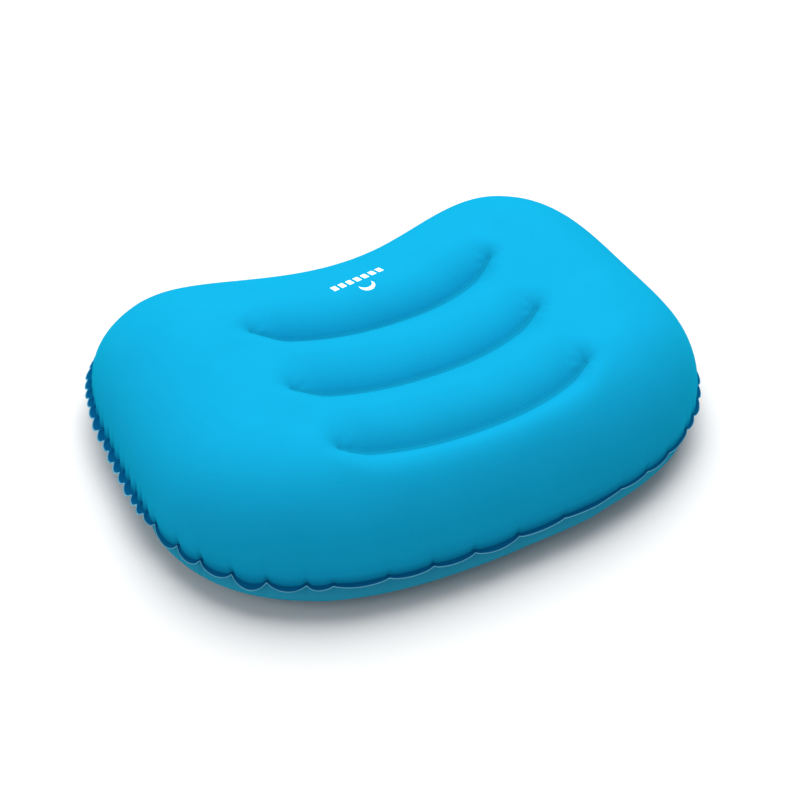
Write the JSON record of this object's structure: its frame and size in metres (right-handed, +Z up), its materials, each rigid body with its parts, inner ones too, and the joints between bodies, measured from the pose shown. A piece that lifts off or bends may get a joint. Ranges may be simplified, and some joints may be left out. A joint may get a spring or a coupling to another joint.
{
  "type": "inflatable camp pillow",
  "caption": "Inflatable camp pillow: a hollowed neck edge, curved weld lines in the top, a welded margin all round and a two-stage valve underneath.",
  "frame": {"origin": "under the middle of the pillow's box, on the surface it rests on", "axes": "+X along the pillow, +Y towards the hollowed neck edge, +Z up"},
  "size_m": [0.45, 0.3474, 0.1043],
  "materials": {
    "coated_polyester": "smooth TPU-coated polyester, satin",
    "tpu_film": "clear TPU film",
    "valve_tpu": "soft moulded TPU, satin black",
    "valve_silicone": "translucent silicone"
  },
  "bodies": {
    "pillow": {"top_skin": "coated_polyester", "bottom_skin": "coated_polyester", "tie_web_neck": "tpu_film", "tie_web_middle": "tpu_film", "tie_web_back": "tpu_film", "valve_base": "valve_tpu"},
    "plug": {"valve_plug": "valve_tpu"},
    "flap": {"check_flap": "valve_silicone"},
    "cap": {"valve_cap": "valve_tpu"}
  },
  "joints": [
    {"name": "plug_strap_hinge", "type": "hinge", "parent": "pillow", "child": "plug", "pos_m": [0.1908, 0.05878, 0.00725], "axis": [-0.9348, -0.0962, -0.342], "range_deg": [0, 120]},
    {"name": "cap_strap_hinge", "type": "hinge", "parent": "plug", "child": "cap", "pos_m": [0.18801, 0.09026, 0.00603], "axis": [0.9348, 0.0962, 0.342], "range_deg": [0, 150]},
    {"name": "check_flap_lift", "type": "slide", "parent": "plug", "child": "flap", "axis": [-0.3402, -0.035, 0.9397], "range_m": [0, 0.0012], "stiffness_N_per_m": 30}
  ]
}
